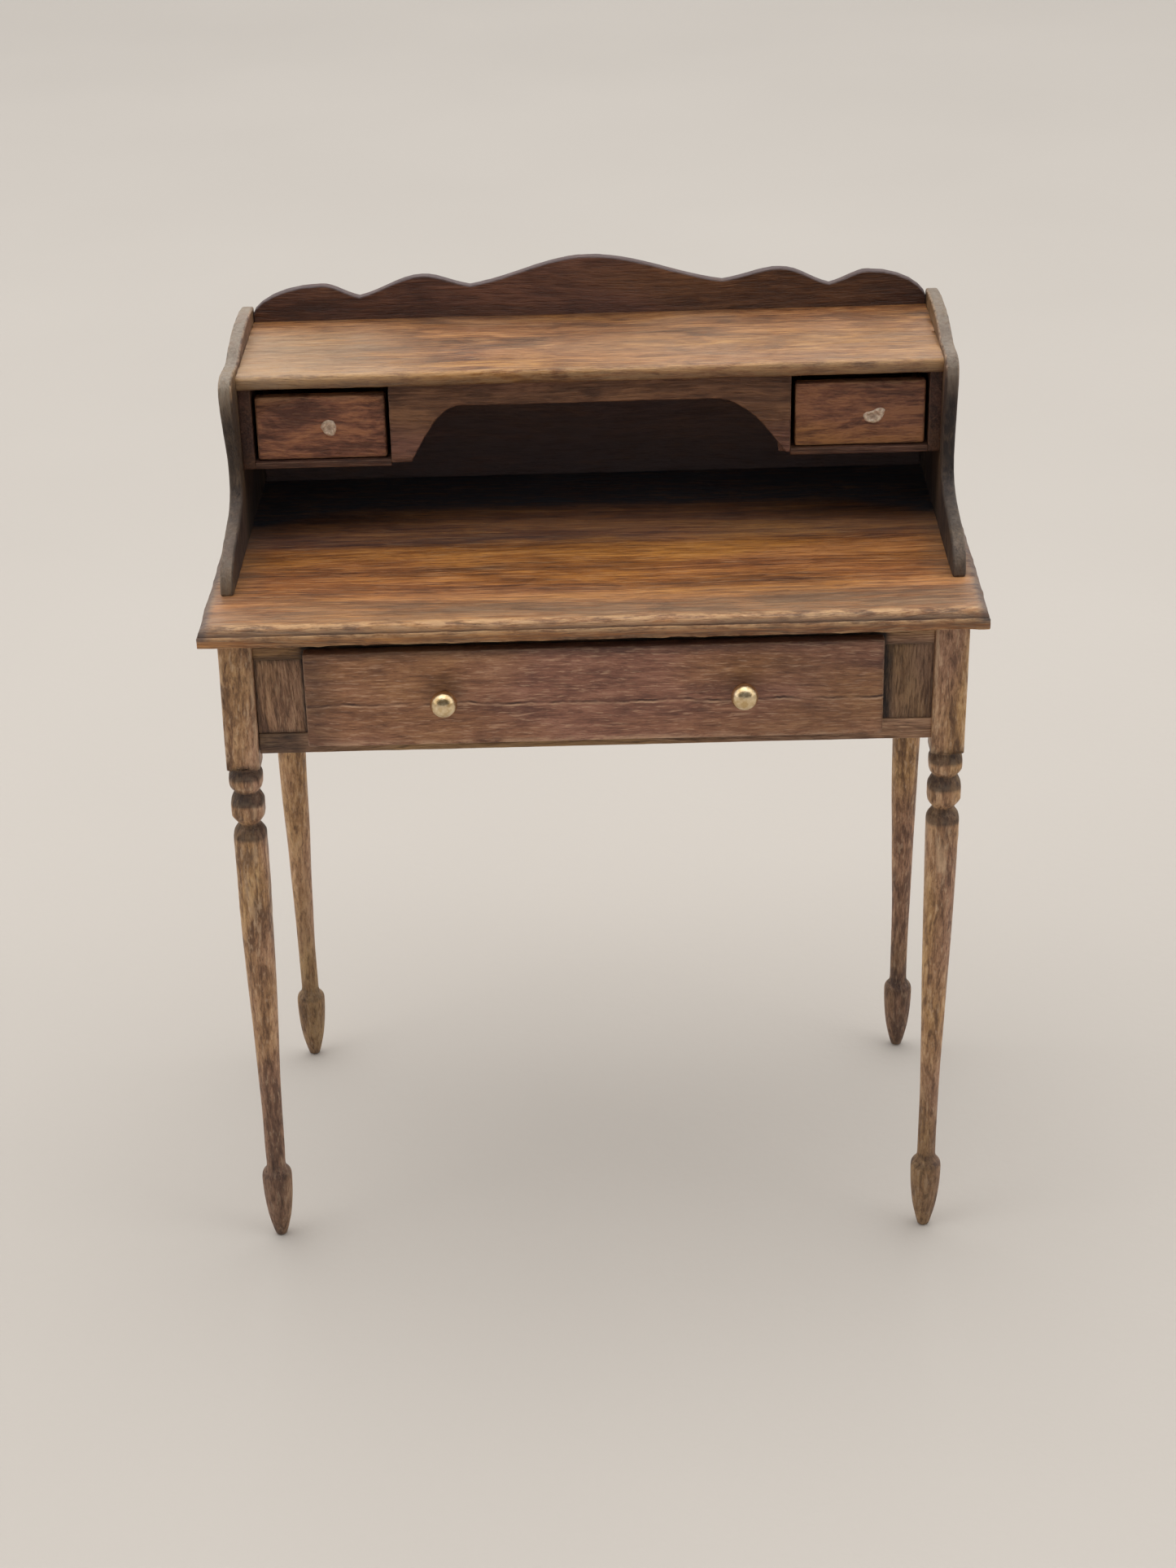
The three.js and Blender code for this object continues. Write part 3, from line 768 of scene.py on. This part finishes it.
def scalloped_back():
    """The back, painted nearly black with shade on its face below the shelf, and its sawn top edge dark."""
    shelf_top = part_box("hutch_shelf")[1][2]
    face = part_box("hutch_back")[0][1]

    # painted shade: the face below the shelf top is darkened almost to black
    def shade_below(v):
        if v.y >= face + 0.3 * MM:
            return 0.1
        return 0.95 * (1 - fade(v.z, shelf_top - 1 * MM, shelf_top))

    shaped("hutch_back", 1, "dark", "X", 45, radius=0.15, contrast=1.1, outline_step=0.4, flecks=0.5,
           rubbing=0.0, rim=1.0, grime=srgb(96, 84, 86), dark=shade_below)


def shelf():
    """The shelf, dry and pale at its left end, dark where dust gathered at the middle of the back, with
    painted shade low on its front edge and underside, and a partly painted highlight along the front.
    """
    (left, front, _), (_, rear, top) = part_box("hutch_shelf")

    def dry(v):
        end = 0.7 * (1 - fade(v.x, left + 4 * MM, left + 20 * MM))
        middle = 0.2 * fade(v.x, -12 * MM, 4 * MM)
        return max(end, middle) * (1 - fade(v.y, rear - 5 * MM, rear - 1 * MM))

    # painted shade on the lower front edge and underside, and dust in a patch at the middle of the back
    def darkening(v):
        edge = 0.5 * (1.0 - fade(v.z, top - 0.9 * MM, top - 0.2 * MM))
        patch = math.exp(-(((v.x + 2 * MM) / (14 * MM)) ** 2)) * fade(v.y, rear - 6 * MM, rear - 1 * MM)
        return max(edge, 0.3 * patch)

    shaped("hutch_shelf", 0, "dusty", "X", 48, radius=0.04, outline_step=0.2, step=0.35, haze=0.3,
           flecks=0.8, banding=0.2, rubbing=0.8, dark=darkening, pale=dry,
           worn_and_highlit=lambda v: 0.5 - 0.5 * fade(v.y, front + 0.3 * MM, front + 0.9 * MM))


def shaped_boards():
    """The hutch's sawn boards, and the runners under the wide drawer."""
    end_boards()
    scalloped_back()
    shaped("hutch_valance", 1, "valance", "X", 46, radius=0.12, flecks=0.5, banding=0.1, rim=0.3)
    shelf()
    for i, side in enumerate(SIDES):
        shaped(f"{side}_drawer_runner", 1, "inner", "Y", 49 + i, radius=0.06, step=2.0)


TOP_MOULDING = {"face": 1.05, "quirk": 0.1, "run": 0.6}     # millimetres
# Blue-grey colour of the tabletop's dark attribute: painted shade under the hutch and shelf, and the other
# darkening on the top.
TOP_SHADE_AND_GRIME = srgb(60, 68, 80)


def top_profile(thick):
    """The moulded edge from the underside up: inset, height, wear and painted highlight, and stain, in
    metres.
    """
    face, quirk, run = (TOP_MOULDING[k] * MM for k in ("face", "quirk", "run"))
    rows = [(0.10 * MM, 0.0, 0.5, 0.0), (0.03 * MM, 0.03 * MM, 1.0, 0.0), (0.0, 0.12 * MM, 0.3, 0.0),
            (0.0, face * 0.5, 0.0, 0.0), (0.0, face - 0.1 * MM, 0.8, 0.0),
            (0.03 * MM, face - 0.02 * MM, 0.9, 0.1), (quirk + 0.03 * MM, face, 0.5, 0.35)]
    for i in range(7):
        a = i * math.pi / 12
        height = face + 0.03 * MM + (thick - face - 0.03 * MM) * math.sin(a)
        rows.append((quirk + run * (1 - math.cos(a)), height, math.sin(a), 0.5 * (1 - math.sin(a)) ** 2))
    return rows


def top_shade_and_dark_ends(x, y, hutch_x, back):
    """Painted shade nearly black at the back under the hutch and a softer painted shadow of the shelf behind
    its front edge, bare in front of the shelf, dark outside the end boards.
    """
    if abs(x) > hutch_x:
        return 0.75 * fade(abs(x), hutch_x + 0.1 * MM, hutch_x + 0.7 * MM)
    if y > back + 0.5 * MM:
        return 0.0
    # painted shade under the hutch, reaching further forward near the end boards, and a softer painted shadow
    # of the shelf
    corner = 3.5 * MM * fade(abs(x), hutch_x - 9 * MM, hutch_x - 2 * MM)
    deep = fade(y + corner, back - 10.2 * MM, back - 7.4 * MM)
    soft = 0.4 * fade(y, back - 18 * MM, back - 16 * MM)
    return max(deep, soft)


def top_film(x, y, lo, hi):
    """Dry and greyish along the front and at both ends."""
    front = 0.42 * (1 - fade(y, lo[1] + 2.0 * MM, lo[1] + 8.0 * MM))
    ends = 0.3 * fade(abs(x), hi[0] - 5.0 * MM, hi[0] - 1.5 * MM)
    return max(front, ends)


def tabletop():
    """One board whose front and end edges are moulded: square below, rounded above."""
    lo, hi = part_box("tabletop")
    thick = hi[2] - lo[2]
    hutch_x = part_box("hutch_right_side")[1][0]
    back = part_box("hutch_back")[0][1]
    nx, ny = 150, 84
    profile = top_profile(thick)
    verts, wear_and_highlight, dark, pale = [], [], [], []

    def point(x, y, z, worn_and_highlit, stain):
        verts.append((x, y, lo[2] + z))
        wear_and_highlight.append(worn_and_highlit)
        above = z > 0.5 * thick
        # on the upper face: painted shade under the hutch and shelf
        dark.append(max(stain, top_shade_and_dark_ends(x, y, hutch_x, back) if above else 0.0))
        pale.append(top_film(x, y, lo, hi) if above else 0.15)

    for inset_by, z, worn_and_highlit, stain in profile:
        x0, x1, y0, y1 = lo[0] + inset_by, hi[0] - inset_by, lo[1] + inset_by, hi[1]
        ring = [(x0 + (x1 - x0) * i / nx, y0) for i in range(nx)]
        ring += [(x1, y0 + (y1 - y0) * i / ny) for i in range(ny)]
        ring += [(x1 - (x1 - x0) * i / nx, y1) for i in range(nx)]
        ring += [(x0, y1 - (y1 - y0) * i / ny) for i in range(ny)]
        for x, y in ring:
            rear = y > y1 - 0.2 * MM
            point(x, y, z, 0.2 * worn_and_highlit if rear else worn_and_highlit, 0.0 if rear else stain)
    n = 2 * (nx + ny)
    faces = ring_faces(len(profile), n)
    faces.append(tuple(reversed(range(n))))

    # the upper face is a grid inside the last ring
    first = len(verts)
    for j in range(1, ny):
        for i in range(1, nx):
            point(x0 + (x1 - x0) * i / nx, y0 + (y1 - y0) * j / ny, thick, 0.0, 0.0)
    top = first - n

    def at(i, j):
        if j == 0:
            return top + i
        if i == nx:
            return top + nx + j
        if j == ny:
            return top + nx + ny + (nx - i)
        if i == 0:
            return top + (2 * nx + ny + (ny - j)) % n
        return first + (j - 1) * (nx - 1) + i - 1

    faces += [(at(i, j), at(i + 1, j), at(i + 1, j + 1), at(i, j + 1)) for j in range(ny) for i in range(nx)]
    stained = wood("tabletop_wood", "amber", "X", 3, banding=0.36, flecks=0.8, fleck_length=1.3, gloss=0.4,
                   rubbing=0.8, grime=TOP_SHADE_AND_GRIME)
    finish_mesh("tabletop_board", verts, faces, wear_and_highlight, dark, stained, body_of("tabletop"), "tabletop",
                seed=2.0, rough=0.05, chips=0.09, pale=pale)


# ---- turned pieces

LEG_TOP = 63.5
# Radius and height in millimetres, from the foot up. Above the last groove the leg is square.
LEG_PROFILE = [
    (0.0, 0.0), (0.35, 0.0), (0.55, 0.12), (0.64, 0.4), (0.82, 1.1), (1.1, 2.4), (1.33, 4.2), (1.44, 5.6),
    (1.47, 6.4), (1.45, 6.9), (1.3, 7.3), (1.04, 7.6), (0.9, 7.95), (0.87, 8.4), (0.88, 9.6), (0.9, 14.0),
    (0.98, 18.0), (1.14, 24.0), (1.3, 29.0), (1.42, 34.0), (1.54, 39.0), (1.6, 42.5), (1.63, 43.7),
    (1.56, 44.2), (1.22, 44.75), (0.96, 45.1), (0.98, 45.25), (1.5, 45.95), (1.66, 46.2), (1.7, 46.8),
    (1.66, 47.35), (1.2, 48.2), (1.12, 48.38), (1.2, 48.55), (1.6, 49.1), (1.69, 49.4), (1.68, 49.95),
    (1.34, 50.6), (1.28, 50.75), (1.42, 50.95), (1.8, 51.2), (2.02, 51.45), (2.04, 52.0), (2.04, LEG_TOP),
    (0.0, LEG_TOP),
]
# Painted shade on each shoulder just below a groove: bottom and top of the shaded band, and strength.
SHOULDERS = ((49.9, 50.85, 0.8), (47.3, 48.45, 0.85), (43.9, 45.2, 0.75), (7.0, 8.3, 0.7))
BLUNT = 14.0                    # how sharply the turning meets the flats of the stock


def smooth_profile(points, step):
    """Catmull-Rom through the profile points, about every step millimetres."""
    out = []
    for k in range(len(points) - 1):
        p0, p1 = points[max(k - 1, 0)], points[k]
        p2, p3 = points[k + 1], points[min(k + 2, len(points) - 1)]
        length = math.dist(p1, p2)
        straight = k == 0 or k >= len(points) - 3
        count = max(1, math.ceil(length / step))
        for i in range(count):
            s = i / count
            if straight:
                out.append((p1[0] + (p2[0] - p1[0]) * s, p1[1] + (p2[1] - p1[1]) * s))
                continue
            q = [0.5 * (2 * p1[a] + (p2[a] - p0[a]) * s
                        + (2 * p0[a] - 5 * p1[a] + 4 * p2[a] - p3[a]) * s ** 2
                        + (3 * p1[a] - p0[a] - 3 * p2[a] + p3[a]) * s ** 3) for a in (0, 1)]
            out.append((max(q[0], 0.0), q[1]))
    out.append(points[-1])
    return out


def leg_darkening(z):
    """Painted shade on the shoulders, and darker towards the foot. Height in millimetres."""
    band = max(k * fade(z, low - 0.25, low + 0.1) * (1 - fade(z, high, high + 0.2))
               for low, high, k in SHOULDERS)
    return max(band, 0.5 * (1 - fade(z, 8, 22)), 0.6 * (1 - fade(z, 0.5, 3)))


def leg(node, seed, slim, lean):
    """Turned from square stock, so flats are left wherever the turning is wider than the stock.

    Slim scales the shaft; lean is how far the foot stands to one side, in millimetres."""
    lo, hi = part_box(node)
    cx, cy = (lo[0] + hi[0]) / 2, (lo[1] + hi[1]) / 2
    half = (hi[0] - lo[0]) / 2 / MM
    segments = 64
    profile = [p for p in smooth_profile(LEG_PROFILE, 0.35) if p[0] > 0.05]
    verts, wear_and_highlight, dark = [], [], []
    for radius, z in profile:
        shaft = fade(z, 7, 10) * fade(z, 43, 37)
        r0 = radius * (1 + (slim - 1) * shaft)
        shift = lean * MM * (1 - z / LEG_TOP)
        for s in range(segments):
            a = 2 * math.pi * (s + 0.5) / segments
            c, si = math.cos(a), math.sin(a)
            flat = half / max(abs(c), abs(si))
            r = (r0 ** -BLUNT + flat ** -BLUNT) ** (-1 / BLUNT) if r0 > 0.2 else r0
            verts.append((cx + r * c * MM + shift, cy + r * si * MM, z * MM))
            arris = max(0.0, 1 - abs(r0 - flat) / 0.12) if r0 > 1.5 else 0.0
            wear_and_highlight.append(min(1.0, arris + (0.4 if z < 0.6 else 0.0)))
            dark.append(leg_darkening(z))
    faces = ring_faces(len(profile), segments)
    faces.append(tuple(reversed(range(segments))))
    faces.append(tuple((len(profile) - 1) * segments + s for s in range(segments)))
    stained = wood(f"{node}_wood", "leg", "Z", seed, contrast=1.1, fleck_length=0.35, fleck_width=1.9,
                   banding=0.2)
    finish_mesh(f"{node}_turned", verts, faces, wear_and_highlight, dark, stained, body_of(node), node,
                seed=seed, rough=0.05, chips=0.04)


# Radius of a knob's neck and shank, how far the collar passes the neck, and the room behind the ball.
KNOB = {"neck": 0.52, "shank": 0.4, "collar": 0.06, "gap": 0.35}


def knob_profile(ball, length):
    """Radius, distance from the front and dirt, from the front of the ball to the end of the shank."""
    flat, full = 0.85 * ball, 1.15 * ball
    sweep = math.pi - math.asin(KNOB["neck"] / ball)
    rows = []
    for i in range(27):
        a = sweep * i / 26
        rows.append((ball * math.sin(a), flat - (flat if math.cos(a) > 0 else full) * math.cos(a), 0.0))
    face = 2 * ball + KNOB["gap"]
    return rows + [(KNOB["neck"], face - 0.1, 0.6), (KNOB["neck"] + KNOB["collar"], face - 0.02, 1.0),
                   (KNOB["shank"], face + 0.02, 1.0), (KNOB["shank"], length, 0.0)]


def knob(node):
    """Brass ball, a little flattened in front, on a short neck with its shank through the drawer front."""
    lo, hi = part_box(node)
    cx, cz = (lo[0] + hi[0]) / 2, (lo[2] + hi[2]) / 2
    profile = knob_profile((hi[0] - lo[0]) / 2 / MM, (hi[1] - lo[1]) / MM)
    segments = 48
    verts, dark = [], []
    for r, y, darkening in profile:
        r = max(r, 0.004)                # the front keeps a tiny flat, not a point
        for s in range(segments):
            a = 2 * math.pi * s / segments
            verts.append((cx + r * MM * math.cos(a), lo[1] + y * MM, cz + r * MM * math.sin(a)))
            dark.append(darkening)
    faces = ring_faces(len(profile), segments)
    faces.append(tuple(range(segments)))
    faces.append(tuple((len(profile) - 1) * segments + s for s in reversed(range(segments))))
    finish_mesh(f"{node}_turned", verts, faces, [0.0] * len(verts), dark, brass(f"{node}_brass"),
                body_of(node), node, rough=0.01, chips=0.0)


# ---- glue marks

GLUE_HEIGHT = 0.16               # millimetres


def glue_edge(a, seed, lobe, reach):
    """How far the mark's ragged edge stands out in one direction, drawn out towards its lobe."""
    swing = abs((a - math.radians(lobe) + math.pi) % (2 * math.pi) - math.pi)
    edge = 1 + reach * math.exp(-(swing / 0.5) ** 2)
    for frequency, amount in ((1.3, 0.28), (4, 0.10)):
        edge += amount * noise.noise(Vector((math.cos(a) * frequency + seed, math.sin(a) * frequency, seed)))
    return edge


def glue_mark(side, dx, dz, width, height, crater, seed, lobe, reach):
    """Dried glue where a small knob has come away. Offsets and sizes in millimetres, lobe in degrees."""
    node = f"{side}_small_drawer_front"
    lo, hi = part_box(node)
    cx = (lo[0] + hi[0]) / 2 + dx * MM
    cz = (lo[2] + hi[2]) / 2 + dz * MM
    rings, segments = 9, 36
    verts = [(cx, lo[1] - 0.02 * MM - (GLUE_HEIGHT - 0.14 * crater) * MM, cz)]
    dark = [crater]
    for k in range(1, rings + 1):
        t = k / rings
        rim = math.exp(-((t - 0.72) / 0.2) ** 2)
        dome = math.sqrt(max(0.0, 1 - t ** 2))
        for s in range(segments):
            a = 2 * math.pi * s / segments
            edge = glue_edge(a, seed, lobe, reach)
            x = math.cos(a) * width / 2 * t * edge
            z = math.sin(a) * height / 2 * t * edge
            lift = GLUE_HEIGHT * (crater * rim + (1 - crater) * dome)
            lift += 0.03 * noise.noise(Vector((x * 3, z * 3, seed)))
            depth = 0.02 + max(0.0, lift) if t < 1 else -0.03
            verts.append((cx + x * MM, lo[1] - depth * MM, cz + z * MM))
            dark.append(crater * max(0.0, 1 - t / 0.5))
    faces = [(0, 1 + s, 1 + (s + 1) % segments) for s in range(segments)]
    for k in range(rings - 1):
        a0, b0 = 1 + k * segments, 1 + (k + 1) * segments
        faces += [(a0 + s, b0 + s, b0 + (s + 1) % segments, a0 + (s + 1) % segments) for s in range(segments)]
    finish_mesh(f"{side}_glue_mark", verts, faces, [0.0] * len(verts), dark, glue(f"{side}_glue"),
                body_of(node), seed=seed, rough=0.0, chips=0.0)


# ---- stage

# The photo's viewpoint, solved from its corners: millimetres, degrees, and pixels of focal length.
CAMERA = {"x": 1.9, "y": -237.7, "z": 163.7, "yaw": -0.672, "pitch": 27.338, "roll": 1.284, "focal": 3489.8}
PHOTO_HEIGHT = 1927             # pixels
SENSOR_HEIGHT = 36              # millimetres


def camera():
    """The camera, from the yaw, pitch and roll of the photo."""
    yaw, pitch, roll = (math.radians(CAMERA[k]) for k in ("yaw", "pitch", "roll"))
    forward = Vector((math.sin(yaw) * math.cos(pitch), math.cos(yaw) * math.cos(pitch), -math.sin(pitch)))
    right = Vector((math.cos(yaw), -math.sin(yaw), 0))
    down = forward.cross(right)
    r = math.cos(roll) * right + math.sin(roll) * down
    d = -math.sin(roll) * right + math.cos(roll) * down
    place = Matrix((
        (r.x, -d.x, -forward.x, CAMERA["x"] * MM),
        (r.y, -d.y, -forward.y, CAMERA["y"] * MM),
        (r.z, -d.z, -forward.z, CAMERA["z"] * MM),
        (0, 0, 0, 1)))
    data = bpy.data.cameras.new("camera")
    data.sensor_fit = "VERTICAL"
    data.sensor_height = SENSOR_HEIGHT
    data.lens = CAMERA["focal"] * SENSOR_HEIGHT / PHOTO_HEIGHT
    data.clip_start = 0.01
    data.clip_end = 20
    obj = bpy.data.objects.new("camera", data)
    obj.matrix_world = place
    bpy.context.scene.collection.objects.link(obj)
    bpy.context.scene.camera = obj


def area_light(name, place, target, size, power, colour):
    """A rectangular lamp aimed at a point. Metres and watts."""
    data = bpy.data.lights.new(name, "AREA")
    data.shape = "RECTANGLE"
    data.size, data.size_y = size
    data.energy = power
    data.color = colour
    obj = bpy.data.objects.new(name, data)
    obj.location = place
    obj.rotation_euler = (Vector(target) - Vector(place)).to_track_quat("-Z", "Y").to_euler()
    bpy.context.scene.collection.objects.link(obj)


LIGHT = {"front": 1.38, "back": 1.25, "top": 0.5}
# A dark opening in front of and above the table, which the knobs reflect.
HOOD = {"aim": (0.0, -0.866, 0.5), "edge": 0.79, "core": 0.89, "dim": 0.12, "narrow": 0.48}
OVERHEAD = 1.6


def studio_world():
    """A light tent: walls a little brighter in front than behind, a brighter top, and one dark opening."""
    world = bpy.data.worlds.new("studio")
    bpy.context.scene.world = world
    world.use_nodes = True
    t = Tree(world.node_tree)
    direction = t.node("ShaderNodeTexCoord")
    parts = t.parts(direction)
    walls = t.swell(parts["Y"], -0.85, 0.1, LIGHT["front"], LIGHT["back"])
    top = t.swell(parts["Z"], 0.3, 1.0, 0.0, LIGHT["top"])
    narrowed = t.node("ShaderNodeVectorMath", options={"operation": "NORMALIZE"},
                      i0=t.scaled(direction, HOOD["narrow"], 1.0, 1.0))
    facing = t.node("ShaderNodeVectorMath", out=1, options={"operation": "DOT_PRODUCT"}, i0=narrowed,
                    i1=HOOD["aim"])
    hood = t.swell(facing, HOOD["edge"], HOOD["core"], 1.0, HOOD["dim"])
    background = world.node_tree.nodes["Background"]
    t.put(background.inputs["Strength"], t.math("MULTIPLY", t.math("ADD", walls, top), hood))
    t.put(background.inputs["Color"], (1.0, 0.965, 0.925, 1.0))


FLOOR = {"flat": 1.5, "radius": 5.0, "rise": 0.75}     # metres


def floor_sheet():
    """A pale floor that curves up gently far from the table, so no horizon shows behind it."""
    segments, curve = 96, 16
    verts, faces = [], [tuple(range(segments))]
    for k in range(curve + 1):
        t = k / curve
        radius = FLOOR["flat"] + (FLOOR["radius"] - FLOOR["flat"]) * t
        for i in range(segments):
            a = 2 * math.pi * i / segments
            verts.append((radius * math.cos(a), radius * math.sin(a), FLOOR["rise"] * t ** 2))
    for k in range(curve):
        a, b = k * segments, (k + 1) * segments
        faces += [(a + i, b + i, b + (i + 1) % segments, a + (i + 1) % segments) for i in range(segments)]
    mesh = bpy.data.meshes.new("floor")
    mesh.from_pydata(verts, [], faces)
    for polygon in mesh.polygons:
        polygon.use_smooth = polygon.index > 0
    mesh.materials.append(paper("floor_paper"))
    floor = bpy.data.objects.new("floor", mesh)
    bpy.context.scene.collection.objects.link(floor)
    return floor


def stage():
    """The floor, the light tent, the lamp overhead and plain colour management."""
    floor = floor_sheet()
    studio_world()
    area_light("overhead", place=(-0.15, 0.08, 1.2), target=(0.0, 0.05, 0.0), size=(1.0, 0.8),
               power=OVERHEAD, colour=(1.0, 0.97, 0.93))
    view = bpy.context.scene.view_settings
    view.view_transform = "Standard"
    view.look = "None"


plain_boards()
shaped_boards()
tabletop()
leg("leg_front_left", 61, slim=1.05, lean=-0.35)
leg("leg_front_right", 62, slim=0.95, lean=-0.35)
leg("leg_rear_left", 63, slim=0.98, lean=0.1)
leg("leg_rear_right", 64, slim=0.96, lean=0.1)
knob("left_knob")
knob("right_knob")
glue_mark("left", dx=0.75, dz=-0.1, width=1.5, height=1.3, crater=0.6, seed=4.0, lobe=110, reach=0.35)
glue_mark("right", dx=1.1, dz=-0.35, width=1.75, height=1.15, crater=0.9, seed=8.0, lobe=48, reach=0.8)
camera()
stage()
